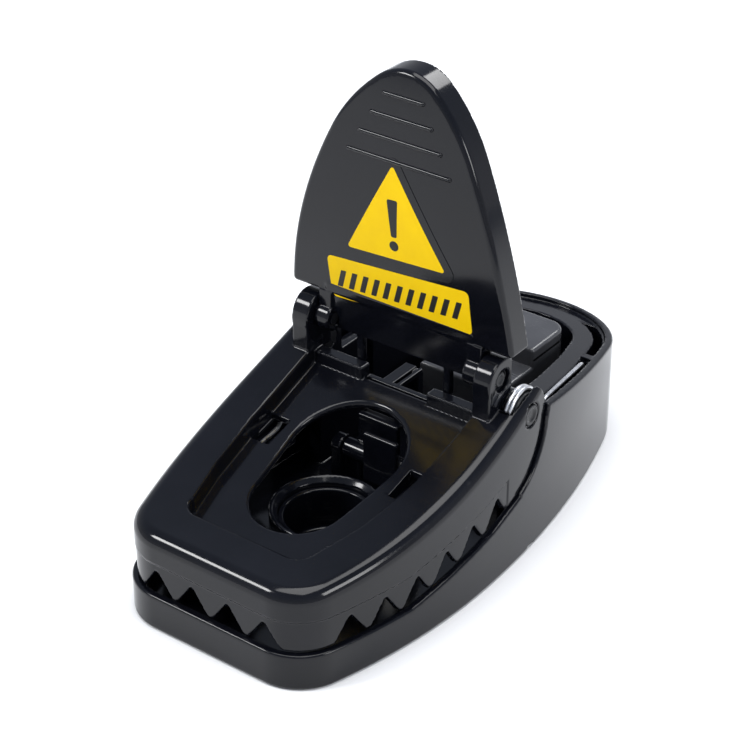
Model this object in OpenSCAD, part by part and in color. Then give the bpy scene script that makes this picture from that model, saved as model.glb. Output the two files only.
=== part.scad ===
// Snap mouse trap with a hinged upper jaw and a bullet-shaped set lever.
// The origin is on the flat underside, straight below the jaw's hinge axis.
// +X is the right side, -Y is the toothed front, +Z is up.

/* [Base] */
// Distance from the hinge axis to the front edge
body_front = 70.3; // [69:0.1:73]
// Half of the greatest width
half_w = 32.6; // [31.5:0.1:34]
// Radius of the rounded tail
tail_r = 23.3; // [22.5:0.1:24]
// Radius of the two front corners
corner_r = 12; // [10:0.5:14]
// Height of the low front rim
rim_h = 8.7; // [8:0.1:9]
// Thickness of the walls
wall = 1.9; // [1.6:0.1:2.2]
// Thickness of the floor
floor_t = 2.4; // [2.2:0.1:3]

/* [Jaw] */
// Height of the hinge axis above the underside
hinge_z = 33.5; // [33:0.1:34.5]
// How far the jaw stands inside the base's outline
jaw_inset = 0.9; // [0.7:0.1:1.1]
// Depth of the recess in the jaw's top
recess_depth = 3.9; // [3.5:0.1:4.2]
// Height of the teeth
tooth_h = 4.9; // [4:0.1:5.5]
// Distance from one front tooth to the next
front_pitch = 9.3; // [9:0.1:9.6]
// Distance from one side tooth to the next
side_pitch = 8.75; // [8.6:0.05:8.9]

/* [Lever] */
// Half of the lever's width at its shoulders
lever_half_w = 29.3; // [29:0.1:29.6]
// How deep the lever's skirt is
skirt_depth = 6.2; // [5:0.1:6.3]
// Thickness of the lever's plate
lever_t = 1.8; // [1.5:0.1:2]

/* [Springs and pins] */
// Radius of the jaw's hinge pins
hinge_pin_r = 2.3; // [2:0.05:2.4]
// Radius of the lever's pins
lever_pin_r = 1.6; // [1.4:0.05:1.7]
// Radius of the spring wire
wire_r = 0.52; // [0.5:0.01:0.6]
// Mean radius of the spring coils
coil_r = 5.25; // [5.1:0.05:5.3]
// Running gap between a pin and its hole
fit_gap = 0.05; // [0.03:0.01:0.08]

/* [Bait cup and trigger] */
// Distance from the hinge axis to the middle of the bait cup
cup_back = 30.9; // [30:0.1:31.5]
// Outer radius of the bait cup
cup_r = 10.4; // [10:0.1:10.5]
// Height of the bait cup's rim
cup_h = 13; // [12:0.1:13.5]
// Radius of the trigger's axle
axle_r = 1; // [0.8:0.05:1.2]

/* [Hidden] */
$fn = 96;

// Plan outline: where it is widest, and the radii of its long sides
wide_y = -19.5;
side_front_r = 140;
side_rear_r = 210;
corner_x = sqrt(pow(side_front_r - corner_r, 2) - pow(body_front + wide_y - corner_r, 2))
           - (side_front_r - half_w);
corner_y = corner_r - body_front;
tail_y = wide_y + sqrt(pow(side_rear_r - tail_r, 2) - pow(side_rear_r - half_w, 2));
tail_angle = atan2(tail_y - wide_y, side_rear_r - half_w);
corner_angle = atan2(corner_y - wide_y, corner_x + side_front_r - half_w);

// Side view: the rim that climbs to the hinge, and the round heel of the jaw's cheek
rim_turn = -42;
rim_knee = [-16, 13.4];
rim_end = [-5, 16.4];
heel = [-10.5, 32];
heel_r = 15.8;
boss_r = 6;
seam_gap = 0.4;
rear_rim_z = 33.4;
rear_rim_slope = 10.8;

// The jaw's top and the lever's face are both cut from large circles
top_c = [-73.9, 202.8];
top_r = 180;
jaw_skin = 1.9;
floor_skin = 1.6;
face_c = [177.3, 69.7];
face_r = 184;
deck_end = -4.2;
cheek_in = 29.2;

// The lever's hinge, and the three arcs of its outline, which get tighter towards the tip
pivot = [-4.4, 42.5];
lever_side_r = 118.5;
lever_mid_r = 37.5;
lever_tip_r = 11.5;
mid_angle = 25.5;
side_c = [lever_half_w - lever_side_r, 37.7];
mid_c = side_c + (lever_side_r - lever_mid_r) * [cos(mid_angle), sin(mid_angle)];
tip_angle = acos(-mid_c[0] / (lever_mid_r - lever_tip_r));
tip_c = [0, mid_c[1] + (lever_mid_r - lever_tip_r) * sin(tip_angle)];
shoulder_z = 48.7;
tongue_z = 40;
tongue_half_w = 19.3;
ear_r = 5;
ear_in = 21.6;
ear_out = 26;
knuckle_r = 3.1;

// Inside the base
lug_r = 4.2;
lug_in = 22.6;
lug_out = 25.9;
shelf_inset = 9.3;
slot_in = 4.4;
shelf_front = 13;
axle_at = [-13.5, 18];
catch_at = [3.5, 25.5];

// Turns an outline in the Y-Z plane into a solid between two X values
module across(x0, x1) {
    translate([x0, 0, 0]) rotate([90, 0, 90]) linear_extrude(x1 - x0) children();
}

// Repeats a right-hand shape on the left
module both_sides() {
    children();
    mirror([1, 0, 0]) children();
}

// A round bar along X about a point in the Y-Z plane
module bar_x(at, r, x0, x1) {
    translate([x0, at[0], at[1]]) rotate([0, 90, 0]) cylinder(r = r, h = x1 - x0);
}

// A straight wire with a round far end
module wire(from, to) {
    d = to - from;
    len = norm(d);
    translate(from) rotate([0, acos(d[2] / len), atan2(d[1], d[0])])
        cylinder(r = wire_r, h = len, $fn = 32);
    translate(to) sphere(r = wire_r + 0.02, $fn = 32);
}

// Points on a circle from angle a0 to a1, in n steps
function arc(c, r, a0, a1, n, first = 0) =
    [for (k = [first : n]) let (t = a0 + (a1 - a0) * k / n) c + r * [cos(t), sin(t)]];

function mirrored(points) = [for (k = [len(points) - 1 : -1 : 0]) [-points[k][0], points[k][1]]];

// A closed outline from its right-hand points, given from front to back
module symmetric(points) {
    polygon(concat(points, mirrored(points)));
}

// The plan outline, drawn in by i
module plan(i) {
    symmetric(concat(
        arc([corner_x, corner_y], corner_r - i, -90, corner_angle, 12),
        arc([half_w - side_front_r, wide_y], side_front_r - i, corner_angle, 0, 12, 1),
        arc([half_w - side_rear_r, wide_y], side_rear_r - i, 0, tail_angle, 14, 1),
        arc([0, tail_y], tail_r - i, tail_angle, 88, 17, 1)));
}

// Lower edge of the jaw in the side view, lowered by d
module jaw_zone(d) {
    polygon([[-90, rim_h + 0.3 - d], [rim_turn, rim_h + 0.3 - d],
        [rim_knee[0], rim_knee[1] + 0.3 - d], [rim_end[0], rim_end[1] + 0.4 - d],
        [rim_end[0] + 3, 30], [rim_end[0], 90], [-90, 90]]);
    translate(heel) circle(r = heel_r + d, $fn = 180);
    translate([0, hinge_z]) circle(r = boss_r + d);
}

// Side view of the base
module base_side() {
    difference() {
        translate([-80, 0]) square([160, 60]);
        jaw_zone(seam_gap);
        translate([5, rear_rim_z]) rotate(-rear_rim_slope) translate([-60, 0]) square([160, 60]);
        translate([-90, 34]) square([97, 60]);
    }
}

// Two posts that hold the trigger's axle, and the two lugs of the jaw hinge
module base_supports() {
    both_sides() {
        across(lug_in, lug_out) {
            translate([0, hinge_z]) circle(r = lug_r);
            translate([-lug_r, 1]) square([2 * lug_r, hinge_z - 1]);
            translate([0, 1]) square([shelf_front + 2, 28]);
        }
        across(8, 10.5) {
            translate(axle_at) circle(r = 2.6);
            translate([axle_at[0] - 2.6, 1]) square([5.2, axle_at[1] - 1]);
        }
    }
}

// Everything above a sloped plane that lies d below the rear rim
module above_rear(d) {
    across(-60, 60) translate([5, rear_rim_z - d]) rotate(-rear_rim_slope)
        translate([-20, 0]) square([120, 60]);
}

// The part of a plan outline behind the front of the shelf
module plan_back(i, y) {
    intersection() {
        plan(i);
        translate([-60, y]) square([120, 100]);
    }
}

// Hollow of the base: open in front, a double wall with a horseshoe shelf behind
module base_hollow() {
    translate([0, 0, floor_t]) {
        linear_extrude(60) difference() {
            plan(wall);
            translate([-60, shelf_front]) square([120, 100]);
        }
        translate([0, 0, 0.01]) linear_extrude(60) plan_back(shelf_inset, shelf_front - 1);
    }
    intersection() {
        linear_extrude(60) plan_back(wall, shelf_front - 0.5);
        above_rear(1.1);
    }
}

// The narrow slot on each side of the shelf for the spring's rear leg, and the trench behind it
module leg_slot() {
    intersection() {
        translate([0, 0, 20]) linear_extrude(60) difference() {
            plan_back(wall + 0.6, shelf_front - 1);
            plan_back(slot_in, shelf_front - 2);
        }
        union() {
            translate([12, -1, 0]) cube([60, 36, 60]);
            translate([8, 38.5, 0]) cube([60, 17, 60]);
        }
        above_rear(8);
    }
}

// Horseshoe groove under the shelf, open at the bottom between its two walls
module underside_groove() {
    difference() {
        translate([0, 0, -1]) linear_extrude(40) difference() {
            plan_back(wall + 0.1, shelf_front + 5);
            plan_back(shelf_inset - 1.9, shelf_front + 4);
        }
        above_rear(11);
    }
}

module base_shell() {
    color([0.035, 0.037, 0.042]) difference() {
        union() {
            difference() {
                intersection() {
                    linear_extrude(60) plan(0);
                    across(-60, 60) base_side();
                }
                base_hollow();
            }
            intersection() {
                linear_extrude(60) plan(1);
                base_supports();
            }
            translate([0, -cup_back, 1]) cylinder(r = cup_r + 1.9, h = cup_h + 1);
        }
        both_sides() leg_slot();
        underside_groove();
        both_sides() bar_x([0, hinge_z], hinge_pin_r + 0.01, lug_in - 1, lug_out + 1);
        both_sides() bar_x(axle_at, axle_r + 0.01, 7, 9.7);
        translate([0, -cup_back, -1]) cylinder(r = cup_r + fit_gap, h = 60);
        translate([0, -cup_back, -1]) cylinder(r = cup_r + 3.7, h = 2.5);
        translate([0, -cup_back, cup_h + 0.9]) cylinder(r1 = cup_r, r2 = cup_r + 1.2, h = 1.2);
    }
}

// Raised middle of the rear housing, with its lower front step
module rear_insert() {
    color([0.05, 0.052, 0.058]) difference() {
        insert_block(11, 18, 45.5, 27.5);
        translate([-30, 0, 23]) cube([60, 31, 20]);
        insert_hollow();
    }
}

module insert_block(hw, y0, y1, top) {
    r = 4;
    translate([0, 0, floor_t + 0.01]) linear_extrude(top - floor_t - 0.01) {
        translate([-hw, y0]) square([2 * hw, y1 - y0 - r]);
        translate([r - hw, y0]) square([2 * (hw - r), y1 - y0]);
        for (s = [-1, 1]) translate([s * (hw - r), y1 - r]) circle(r = r);
    }
}

module insert_hollow() {
    translate([-9.2, 19.8, 0]) cube([18.4, 21, 21.2]);
    translate([-9.2, 32.8, 0]) cube([18.4, 8, 25.7]);
}

// Recess outline in plan, drawn out by o
module recess(o) {
    symmetric(concat(arc([11.9, -54.7], 4 + o, -90, 0, 6),
        [[19 + o, -43.5], [21 + o, -29], [21.5 + o, -16], [21.5 + o, 8]]));
}

// Egg-shaped window over the bait cup
module window() {
    front = [0, -39.3];
    back = [0, -24.2];
    fr = 10.8;
    br = 12.9;
    a = asin((fr - br) / (back[1] - front[1]));
    symmetric(concat(arc(front, fr, -86, a, 16), arc(back, br, a, 86, 16)));
}

function rim_z(y) = y < rim_turn ? rim_h
    : y < rim_knee[0] ? rim_h + (y - rim_turn) * (rim_knee[1] - rim_h) / (rim_knee[0] - rim_turn)
    : rim_knee[1] + (y - rim_knee[0]) * (rim_end[1] - rim_knee[1]) / (rim_end[0] - rim_knee[0]);

// The gap between two teeth: a wedge with a round top
module tooth_gap(pitch) {
    r = 1;
    polygon([[0.6 - pitch / 2, 0.2], [0.3 - pitch / 2, -6], [pitch / 2 - 0.3, -6],
        [pitch / 2 - 0.6, 0.2], [0.7 * r, tooth_h - r], [-0.7 * r, tooth_h - r]]);
    translate([0, tooth_h - r]) circle(r = r, $fn = 32);
}

module teeth_cut() {
    for (x = [-1.5, -0.5, 0.5, 1.5])
        translate([x * front_pitch, 0, rim_h]) rotate([90, 0, 0])
            translate([0, 0, body_front - 9]) linear_extrude(12) tooth_gap(front_pitch);
    for (k = [0 : 5])
        let (y = -13.2 - k * side_pitch)
        both_sides() across(20.4, 40) translate([y, rim_z(y)]) tooth_gap(side_pitch);
}

// Under the deck the jaw is hollow, but the recess keeps a floor
module jaw_hollow() {
    difference() {
        translate([0, 0, -1]) linear_extrude(60) plan(jaw_inset + wall);
        across(-60, 60) translate(top_c) circle(r = top_r + jaw_skin, $fn = 720);
        intersection() {
            translate([0, 0, -2]) linear_extrude(70) recess(floor_skin);
            across(-60, 60) translate(top_c) circle(r = top_r + recess_depth + floor_skin, $fn = 720);
        }
    }
}

// The two ears that carry the lever
module ear() {
    across(ear_in, ear_out) difference() {
        union() {
            translate(pivot) circle(r = ear_r);
            translate([pivot[0] - 4.9, 33.6]) square([8.4, 9]);
        }
        translate([pivot[0] + 3.5, 0]) square([20, 80]);
    }
}

// Cross-bar and arms between the platforms, with the nose that the trigger holds
module jaw_catch() {
    translate([-9, -5.4, 30.2]) cube([18, 1.4, 1.3]);
    translate([-5.2, -4.6, 30.2]) cube([2.9, 9.2, 1.3]);
    translate([-1.6, -4.6, 30.2]) cube([1.1, 9.2, 1.3]);
    translate([-5.2, catch_at[0] - 1.1, catch_at[1] - 1.1]) cube([4.7, 2.2, 6.6]);
}

// A ledge below each slot, which the spring's front leg presses on
module spring_ledge() {
    translate([14.6, -30.5, 20.9]) cube([6.6, 7.7, 1.3]);
    translate([14.6, -30.5, 21]) cube([1.4, 7.7, 3]);
}

// What is cut off the cheek's rear top corner, so that it can swing inside the base
module cheek_corner() {
    difference() {
        translate([0.5, hinge_z + 1]) square([20, 20]);
        translate([0, hinge_z]) circle(r = boss_r + 0.1);
    }
}

module upper_jaw() {
    color([0.03, 0.032, 0.037]) difference() {
        union() {
            difference() {
                intersection() {
                    linear_extrude(60) plan(jaw_inset);
                    across(-60, 60) difference() {
                        jaw_zone(0);
                        translate(top_c) circle(r = top_r, $fn = 720);
                        translate([6.2, -1]) square([60, 100]);
                        cheek_corner();
                    }
                }
                jaw_hollow();
                intersection() {
                    linear_extrude(60) recess(0);
                    across(-60, 60) translate(top_c) circle(r = top_r + recess_depth, $fn = 720);
                }
                teeth_cut();
                translate([-cheek_in, deck_end, 0]) cube([2 * cheek_in, 40, 80]);
                translate([-8.5, -6.4, 20]) cube([17, 6, 20]);
            }
            both_sides() translate([8.5, -7.35, 29.2])
                cube([ear_in - 8.4, deck_end + 7.35, 5.2]);
            both_sides() ear();
            both_sides() spring_ledge();
            jaw_catch();
        }
        translate([0, 0, 5]) linear_extrude(60) window();
        both_sides() translate([16, -30.5, 22.2]) cube([5.6, 7.7, 4.6]);
        both_sides() bar_x([0, hinge_z], lug_r + 0.6, lug_in - 0.3, lug_out + 0.3);
        both_sides() bar_x([0, hinge_z], coil_r + wire_r + 0.4, lug_out, cheek_in);
        both_sides() bar_x([0, hinge_z], hinge_pin_r + fit_gap, 28, 40);
        both_sides() bar_x([0, hinge_z], hinge_pin_r + 0.5, 30.2, 40);
        both_sides() bar_x(pivot, lever_pin_r + 0.01, 20, 40);
        both_sides() bar_x(pivot, lever_pin_r + 1, 24.7, 40);
    }
}

// The lever's arch outline in the X-Z plane, drawn in by i
module lever_arch(i) {
    symmetric(concat(
        arc(side_c, lever_side_r - i, 0, mid_angle, 16),
        arc(mid_c, lever_mid_r - i, mid_angle, tip_angle, 12, 1),
        arc(tip_c, lever_tip_r - i, tip_angle, 88, 12, 1)));
}

// Turns an outline in the X-Z plane into a solid between two Y values
module along(y0, y1) {
    translate([0, y1, 0]) rotate([90, 0, 0]) linear_extrude(y1 - y0) children();
}

// A curved sheet that follows the lever's face, from depth d0 to depth d1
module face_sheet(d0, d1) {
    across(-60, 60) difference() {
        translate(face_c) circle(r = face_r - d0, $fn = 720);
        translate(face_c) circle(r = face_r - d1, $fn = 720);
        translate([60, -200]) square([400, 600]);
    }
}

module set_lever() {
    color([0.035, 0.037, 0.042]) difference() {
        union() {
            intersection() {
                difference() {
                    along(-20, 20) lever_arch(0);
                    translate([-60, -30, -1]) cube([120, 60, shoulder_z + 1]);
                    intersection() {
                        along(-20, 20) lever_arch(1.7);
                        face_sheet(lever_t, 12);
                        translate([-60, -30, shoulder_z + 1.7]) cube([120, 60, 100]);
                    }
                }
                face_sheet(0, skirt_depth);
            }
            intersection() {
                translate([-tongue_half_w, -20, tongue_z])
                    cube([2 * tongue_half_w, 40, shoulder_z - tongue_z + 3]);
                face_sheet(0, lever_t);
            }
            both_sides() across(17.6, ear_in - 0.25) {
                translate(pivot) circle(r = knuckle_r);
                translate([pivot[0] - 1.4, pivot[1]]) square([4, 7]);
            }
            both_sides() translate([10.6, deck_end + 0.1, 33.4]) cube([1.7, 1.8, 7.8]);
            for (k = [0 : 3])
                let (z = 99 - 4.57 * k, y = face_c[0] - sqrt(pow(face_r, 2) - pow(z - face_c[1], 2)))
                bar_x([y + 0.05, z], 0.5, -4.8 - 2.63 * k, 4.8 + 2.63 * k);
        }
        both_sides() bar_x(pivot, lever_pin_r + fit_gap, 17, 40);
    }
}

module lever_pin() {
    color([0.04, 0.04, 0.045]) bar_x(pivot, lever_pin_r, 17.8, 25.4);
}

module hinge_pin() {
    color([0.04, 0.04, 0.045]) bar_x([0, hinge_z], hinge_pin_r, lug_in, 30.6);
}

module spring_bush() {
    color([0.05, 0.05, 0.055]) difference() {
        bar_x([0, hinge_z], 4.6, lug_out + 0.05, cheek_in - 0.1);
        bar_x([0, hinge_z], hinge_pin_r + 0.01, lug_out - 1, cheek_in + 1);
    }
}

// Torsion spring: three turns, a rear leg with a hooked tip and a front leg under the jaw
module spring() {
    color([0.78, 0.79, 0.8]) {
        translate([lug_out + 0.7, 0, hinge_z]) rotate([0, 90, 0]) rotate_extrude()
            for (k = [0 : 2]) translate([coil_r, k]) circle(r = wire_r, $fn = 24);
        wire([27.7, 4.6, 30.9], [27.2, 10.5, 31.4]);
        wire([27.2, 10.5, 31.4], [22.9, 32.4, 27.7]);
        wire([22.9, 32.4, 27.7], [22.3, 33.6, 25.6]);
        wire([26.6, -3.3, 29.4], [26.4, -7, 27.4]);
        wire([26.4, -7, 27.4], [19.3, -22.9, 22.8]);
        wire([19.3, -22.9, 22.8], [18.6, -29.8, 22.8]);
    }
}

// Paddle, barrel and latch of the trigger
module trigger() {
    color([0.06, 0.062, 0.068]) difference() {
        union() {
            bar_x(axle_at, 2.3, -7.7, 7.7);
            translate([-7.2, axle_at[0] - 0.6, 6]) cube([14.4, 1.3, 11]);
            translate([-5.2, axle_at[0] + 0.5, axle_at[1]]) cube([10.4, 1.4, 9.2]);
            translate([-5.2, axle_at[0] + 0.5, axle_at[1] + 8]) cube([10.4, 2.9, 1.2]);
            translate([-1.5, axle_at[0] - 2.9, 13]) cube([9, 1.3, 12.4]);
        }
        bar_x(axle_at, axle_r + fit_gap, -20, 20);
    }
}

module trigger_axle() {
    color([0.7, 0.71, 0.72]) bar_x(axle_at, axle_r, -9.7, 9.7);
}

// Round cup that turns in the base's collar, with a grip bar underneath
module bait_cup() {
    color([0.035, 0.037, 0.042]) translate([0, -cup_back, 0]) difference() {
        union() {
            translate([0, 0, 0.4]) cylinder(r = cup_r, h = cup_h - 0.4);
            translate([0, 0, 0.4]) cylinder(r = cup_r + 3.5, h = 1);
        }
        translate([0, 0, 3]) cylinder(r = cup_r - 1.3, h = 20);
        difference() {
            cylinder(r = cup_r - 1.3, h = 1.8);
            translate([-1.2, -20, -1]) cube([2.4, 40, 5]);
        }
    }
}

// A triangle with round corners in the X-Z plane
module round_triangle(a, b, c, r) {
    hull() for (p = [a, b, c]) translate(p) circle(r = r, $fn = 24);
}

module warning_triangle() {
    color([0.95, 0.78, 0.08]) intersection() {
        along(-20, 20) round_triangle([-1.5, 82.6], [-13.2, 62.3], [13.4, 64], 1.5);
        face_sheet(-0.2, 0);
    }
}

module warning_strip() {
    color([0.95, 0.78, 0.08]) intersection() {
        along(-20, 20) translate([0.4, 55.2]) rotate(4.6) {
            square([36.8, 7.4], center = true);
            square([33.8, 10.4], center = true);
            for (x = [-1, 1], z = [-1, 1]) translate([x * 16.9, z * 3.7]) circle(r = 1.5, $fn = 24);
        }
        face_sheet(-0.2, 0);
    }
}

base_shell();
rear_insert();
upper_jaw();
set_lever();
mirror([1, 0, 0]) lever_pin();  // lever_pin_left
lever_pin();  // lever_pin_right
mirror([1, 0, 0]) hinge_pin();  // hinge_pin_left
hinge_pin();  // hinge_pin_right
mirror([1, 0, 0]) spring();  // spring_left
spring();  // spring_right
mirror([1, 0, 0]) spring_bush();  // spring_bush_left
spring_bush();  // spring_bush_right
trigger();
trigger_axle();
bait_cup();
warning_triangle();
warning_strip();
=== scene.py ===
"""Snap mouse trap: rounded moulded shells, wound springs, labels, studio light and camera.

The shape functions work in millimetres in the part's frame; meshes are made in metres.
"""
import math

import bmesh
import bpy
import numpy as np
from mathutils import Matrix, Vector


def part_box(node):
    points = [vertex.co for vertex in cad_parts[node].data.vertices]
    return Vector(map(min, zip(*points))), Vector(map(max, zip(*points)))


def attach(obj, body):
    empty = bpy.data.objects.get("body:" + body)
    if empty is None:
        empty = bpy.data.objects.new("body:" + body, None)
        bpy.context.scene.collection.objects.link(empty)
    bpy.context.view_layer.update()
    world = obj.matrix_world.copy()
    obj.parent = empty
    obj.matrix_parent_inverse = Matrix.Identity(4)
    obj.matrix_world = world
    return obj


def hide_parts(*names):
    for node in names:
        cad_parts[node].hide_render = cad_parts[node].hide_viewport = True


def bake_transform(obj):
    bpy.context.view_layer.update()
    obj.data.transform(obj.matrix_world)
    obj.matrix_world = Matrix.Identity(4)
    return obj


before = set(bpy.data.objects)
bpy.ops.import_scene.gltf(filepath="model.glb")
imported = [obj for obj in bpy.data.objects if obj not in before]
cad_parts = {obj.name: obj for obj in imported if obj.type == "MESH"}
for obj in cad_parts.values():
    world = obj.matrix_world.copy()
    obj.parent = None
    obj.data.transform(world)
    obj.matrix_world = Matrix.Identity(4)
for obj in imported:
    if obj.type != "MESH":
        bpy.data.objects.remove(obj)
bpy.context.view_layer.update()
MM = 0.001

# ---------------------------------------------------------------- sizes, in mm
# plan outline: its front, half width, tail and front corners, and the two arcs of each side
FRONT, HALF_W, TAIL_R, CORNER_R = 70.3, 32.6, 23.3, 12.0
WIDE_Y, R_FRONT, R_REAR = -19.5, 140.0, 210.0
CORNER_Y = CORNER_R - FRONT
CORNER_X = math.sqrt((R_FRONT - CORNER_R) ** 2 - (CORNER_Y - WIDE_Y) ** 2) - (R_FRONT - HALF_W)
CORNER_A = math.atan2(CORNER_Y - WIDE_Y, CORNER_X + R_FRONT - HALF_W)
TAIL_Y = WIDE_Y + math.sqrt((R_REAR - TAIL_R) ** 2 - (R_REAR - HALF_W) ** 2)
TAIL_A = math.atan2(TAIL_Y - WIDE_Y, R_REAR - HALF_W)
# axes along X, as (y, z): the jaw's hinge, the lever's pivot and the trigger's axle
HINGE_Z = 33.5
HINGE = (0, HINGE_Z)
PIVOT = (-4.4, 42.5)
AXLE = (-13.5, 18.0)
CUP_Y = -30.9     # the bait cup's upright axis
# side view: arcs of the lever's face and the jaw's top, the jaw's round heel and its hinge boss
FACE_C, FACE_R = (177.3, 69.7), 184.0
TOP_C, TOP_R = (-73.9, 202.8), 180.0
HEEL_C, HEEL_R = (-10.5, 32), 15.8
BOSS_R = 6
# the rim between base and jaw, and the teeth on it
RIM_FRONT = 8.7
RIM_Y = (-90.0, -42.0, -16.0, -5.0, 60.0)
RIM_Z = (RIM_FRONT, RIM_FRONT, 13.4, 16.4, 34.0)
TOOTH_H, PITCH_F, PITCH_S = 4.9, 9.3, 8.75
FRONT_GAPS = (-1.5, -0.5, 0.5, 1.5)
SIDE_GAPS, FIRST_SIDE_GAP = 6, -13.2
BAND_TOP, BAND_END, BAND_STEP = 7.4, -9.0, 0.22
# jaw: its outer and inner wall faces inside the plan, its skin, recess, window and slots
JAW_OUT, JAW_IN, JAW_SKIN = 0.9, 2.8, 1.9
RECESS_FRONT, RECESS_DEPTH, RECESS_WALL = 58.7, 3.9, 1.6
RECESS_Y = (-RECESS_FRONT, -54.7, -43.5, -29, -16, 20)
RECESS_HALF = (15.9, 15.9, 19, 21, 21.5, 21.5)
WINDOW_FRONT, WINDOW_BACK = (-39.3, 10.8), (-24.2, 12.9)
SLOT_FRONT, SLOT_BACK = -30.5, -22.8
EAR_R, EAR_BACK = 5, 3.5
# base: wall, floor, and the height of its rear rim at REAR_Y, which slopes down by REAR_TILT
BASE_WALL, BASE_FLOOR = 1.9, 2.4
REAR_Y, REAR_TOP, REAR_TILT = 5, 33.4, math.radians(10.8)
REAR_SLOPE = math.tan(REAR_TILT)
# lever, front view: side, middle and tip arcs that meet smoothly, and its skirt
LEVER_HALF_W, SIDE_R, MID_R, TIP_R = 29.3, 118.5, 37.5, 11.5
SIDE_C = (LEVER_HALF_W - SIDE_R, 37.7)
MID_A = math.radians(25.5)
MID_C = (SIDE_C[0] + (SIDE_R - MID_R) * math.cos(MID_A),
         SIDE_C[1] + (SIDE_R - MID_R) * math.sin(MID_A))
TIP_A = math.acos(-MID_C[0] / (MID_R - TIP_R))
TIP_C = (0, MID_C[1] + (MID_R - TIP_R) * math.sin(TIP_A))
SKIRT, LEVER_WALL = 6.2, 1.7
SHOULDER_Z = 48.7
# bait cup: its outside, the collar's bore and the cup's well
CUP_R, COLLAR_R, WELL_R, FLANGE_R = 10.4, 12.3, 9.1, 13.9
# pins: inner end, outer end, radius; and the springs' coil and wire
HINGE_PIN = (22.6, 30.6, 2.3)
LEVER_PIN = (17.8, 25.4, 1.6)
COIL_R, WIRE_R = 5.25, 0.5
COIL_X, COIL_SHIFT = 28.55, 2.03
COIL_FROM, COIL_SWEEP = -70.9, 731


# ---------------------------------------------------------------- distance fields
def rmax(a, b, r):
    """Where both solids are, with the shared edge rounded to radius r."""
    if r <= 0:
        return np.maximum(a, b)
    u, v = np.maximum(a + r, 0), np.maximum(b + r, 0)
    return np.minimum(np.maximum(a, b), -r) + np.sqrt(u * u + v * v)


def rmin(a, b, r):
    """Where either solid is, with a fillet of radius r."""
    return -rmax(-a, -b, r)


def cut(a, b, r):
    """a without b, with the edge rounded to radius r."""
    return rmax(a, -b, r)


def box2(u, v, u0, u1, v0, v1, r=0.0):
    """A rectangle with corner radius r."""
    p = np.abs(u - (u0 + u1) / 2) - (u1 - u0) / 2 + r
    q = np.abs(v - (v0 + v1) / 2) - (v1 - v0) / 2 + r
    return np.hypot(np.maximum(p, 0), np.maximum(q, 0)) + np.minimum(np.maximum(p, q), 0) - r


def box(x, y, z, x0, x1, y0, y1, z0, z1, r):
    """A block with rounded edges."""
    p = np.abs(x - (x0 + x1) / 2) - (x1 - x0) / 2 + r
    q = np.abs(y - (y0 + y1) / 2) - (y1 - y0) / 2 + r
    s = np.abs(z - (z0 + z1) / 2) - (z1 - z0) / 2 + r
    out = np.sqrt(np.maximum(p, 0) ** 2 + np.maximum(q, 0) ** 2 + np.maximum(s, 0) ** 2)
    return out + np.minimum(np.maximum(np.maximum(p, q), s), 0) - r


def bar_x(x, y, z, at, rad, x0, x1, r=0.0):
    """A round bar along X; for a mirrored pair give |x|."""
    d = np.hypot(y - at[0], z - at[1]) - rad
    return rmax(d, np.abs(x - (x0 + x1) / 2) - (x1 - x0) / 2, r)


def slab(u, lo, hi):
    """Between lo and hi along one direction."""
    return np.abs(u - (lo + hi) / 2) - (hi - lo) / 2


def plan(x, y):
    """Distance to the plan outline, negative inside."""
    ax = np.abs(x)
    front_arc = np.hypot(ax - (HALF_W - R_FRONT), y - WIDE_Y) - R_FRONT
    rear_arc = np.hypot(ax - (HALF_W - R_REAR), y - WIDE_Y) - R_REAR
    d = np.where(y < WIDE_Y, np.maximum(front_arc, -(y + FRONT)), rear_arc)
    px, py = ax - CORNER_X, y - CORNER_Y
    corner = (px > 0) & (py * math.cos(CORNER_A) - px * math.sin(CORNER_A) < 0)
    d = np.where(corner, np.hypot(px, py) - CORNER_R, d)
    qy = y - TAIL_Y
    tail = qy * math.cos(TAIL_A) - ax * math.sin(TAIL_A) > 0
    return np.where(tail, np.hypot(ax, qy) - TAIL_R, d)


def rim_z(y):
    """Height of the rim between base and jaw."""
    return np.interp(y, RIM_Y, RIM_Z)


def jaw_zone(y, z, drop):
    """Side view of the space that the jaw fills, lowered by drop: negative inside."""
    rim = np.maximum((rim_z(y) + 0.3 - drop - z) * 0.97, y + 5)
    heel = np.hypot(y - HEEL_C[0], z - HEEL_C[1]) - HEEL_R - drop
    boss = np.hypot(y, z - HINGE_Z) - BOSS_R - drop
    return np.minimum(np.minimum(rim, heel), boss)


def above_rear(y, z, d):
    """Distance above the sloped rear rim, lowered by d."""
    return (z - (REAR_TOP - d - REAR_SLOPE * (y - REAR_Y))) * math.cos(REAR_TILT)


def jaw_top(y, z):
    """Distance above the jaw's dished top."""
    return TOP_R - np.hypot(y - TOP_C[0], z - TOP_C[1])


def recess(x, y):
    """Plan outline of the jaw's recess."""
    edge = np.interp(y, RECESS_Y, RECESS_HALF)
    return rmax((np.abs(x) - edge) * 0.985, -(y + RECESS_FRONT), 4.0)


def egg(x, y):
    """Plan outline of the window."""
    (ya, ra), (yb, rb) = WINDOW_FRONT, WINDOW_BACK
    h = yb - ya
    b = (ra - rb) / h
    a = math.sqrt(1 - b * b)
    ax, v = np.abs(x), y - ya
    k = -b * ax + a * v
    side = ax * a + v * b - ra
    low = np.hypot(ax, v) - ra
    high = np.hypot(ax, v - h) - rb
    return np.where(k < 0, low, np.where(k > a * h, high, side))


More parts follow.
